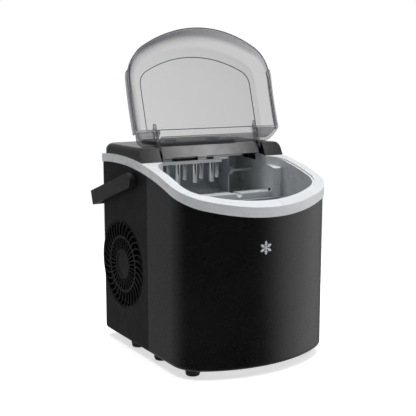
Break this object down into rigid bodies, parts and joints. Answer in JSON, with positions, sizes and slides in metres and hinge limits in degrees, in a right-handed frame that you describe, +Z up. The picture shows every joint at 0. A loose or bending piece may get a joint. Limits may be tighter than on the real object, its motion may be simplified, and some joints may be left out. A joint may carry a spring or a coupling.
{
  "type": "ice maker",
  "caption": "Countertop ice maker with bulged front, open clear lid, folded-back carry handle, round side grille, ice basket and tilting water tray.",
  "frame": {"origin": "centre of the object's footprint, on the worktop under the feet", "axes": "+Z up, front towards -Y, right side towards +X, rest pose with the lid open"},
  "size_m": [0.242, 0.2818, 0.4318],
  "materials": {
    "black_panel": "satin black",
    "black_shell": "fine matt grain",
    "cover_black": "satin black",
    "white_ring": "gloss",
    "label": "gloss",
    "button": "satin",
    "lens": "translucent look",
    "clear_lid": "clear tinted plastic",
    "pin": "plain",
    "handle": "fine grain",
    "pivot": "plain",
    "grille": "fine grain",
    "shroud": "plain",
    "fan_motor": "plain",
    "fan_rotor": "plain",
    "liner": "grey, slightly glossy",
    "foam": "foam skin",
    "basket": "smoky",
    "evaporator": "nickel plated",
    "copper": "drawn tube",
    "tray": "translucent look",
    "shovel": "plain",
    "bearing": "plain",
    "motor": "plain",
    "sensor": "dark lens",
    "hose": "silicone",
    "pump": "plain",
    "compressor": "semi gloss",
    "rubber": "plain",
    "condenser": "fins and tubes",
    "valve": "plain",
    "board": "circuit board",
    "zinc": "zinc plated sheet",
    "cap": "plain",
    "fitting": "plain",
    "gland": "plain"
  },
  "bodies": {
    "base": {"front_panel": "black_panel", "rear_housing": "black_shell", "top_ring": "white_ring", "top_cover": "cover_black", "control_panel": "label", "indicator_lenses": "lens", "lid_hinge_pins": "pin", "handle_pivots": "pivot", "air_grille": "grille", "fan_shroud": "shroud", "fan_motor": "fan_motor", "inner_liner": "liner", "insulation": "foam", "evaporator": "evaporator", "evaporator_fingers": "evaporator", "evaporator_pipe": "evaporator", "finger_shield": "white_ring", "tray_bearing": "bearing", "tray_motor": "motor", "ice_sensor": "sensor", "fill_hose": "hose", "pump_body": "pump", "compressor": "compressor", "compressor_mounts": "rubber", "condenser": "condenser", "suction_line": "copper", "filter_drier": "copper", "solenoid_valve": "valve", "control_board": "board", "display_board": "board", "board_bracket": "zinc", "base_plate": "zinc", "base_screws": "pin", "feet": "rubber", "drain_fitting": "fitting", "housing_screws": "pin", "cord_gland": "gland"},
    "lid": {"lid": "clear_lid"},
    "handle": {"handle": "handle"},
    "power_button": {"power_button": "button"},
    "select_button": {"select_button": "button"},
    "tray": {"water_tray": "tray", "ice_shovel": "shovel", "tray_shaft": "tray"},
    "fan": {"fan_rotor": "fan_rotor"},
    "pump_wheel": {"pump_impeller": "pump"},
    "basket": {"ice_basket": "basket"},
    "drain_cap": {"drain_cap": "cap"}
  },
  "joints": [
    {"name": "lid_hinge", "type": "hinge", "parent": "base", "child": "lid", "pos_m": [0, 0.0115, 0.2715], "axis": [-1, 0, 0], "range_deg": [-120, 0]},
    {"name": "handle_pivot", "type": "hinge", "parent": "base", "child": "handle", "pos_m": [0, 0.022, 0.2335], "axis": [1, 0, 0], "range_deg": [0, 85]},
    {"name": "power_button_slide", "type": "slide", "parent": "base", "child": "power_button", "axis": [0, 0, -1], "range_m": [0, 0.0008], "stiffness_N_per_m": 800, "springref_m": -0.0008},
    {"name": "select_button_slide", "type": "slide", "parent": "base", "child": "select_button", "axis": [0, 0, -1], "range_m": [0, 0.0008], "stiffness_N_per_m": 800, "springref_m": -0.0008},
    {"name": "tray_tilt", "type": "hinge", "parent": "base", "child": "tray", "pos_m": [0, 0.03, 0.237], "axis": [1, 0, 0], "range_deg": [-90, 0]},
    {"name": "fan_spin", "type": "hinge", "parent": "base", "child": "fan", "pos_m": [-0.095, 0.0565, 0.1152], "axis": [1, 0, 0], "continuous": true},
    {"name": "pump_spin", "type": "hinge", "parent": "base", "child": "pump_wheel", "pos_m": [0.088, 0.022, 0.027], "axis": [0, 0, 1], "continuous": true},
    {"name": "basket_lift", "type": "slide", "parent": "base", "child": "basket", "axis": [0, 0, 1], "range_m": [0, 0.19]},
    {"name": "drain_cap_turn", "type": "hinge", "parent": "base", "child": "drain_cap", "pos_m": [-0.095, -0.022, 0.006], "axis": [0, 0, 1], "range_deg": [0, 360]}
  ]
}
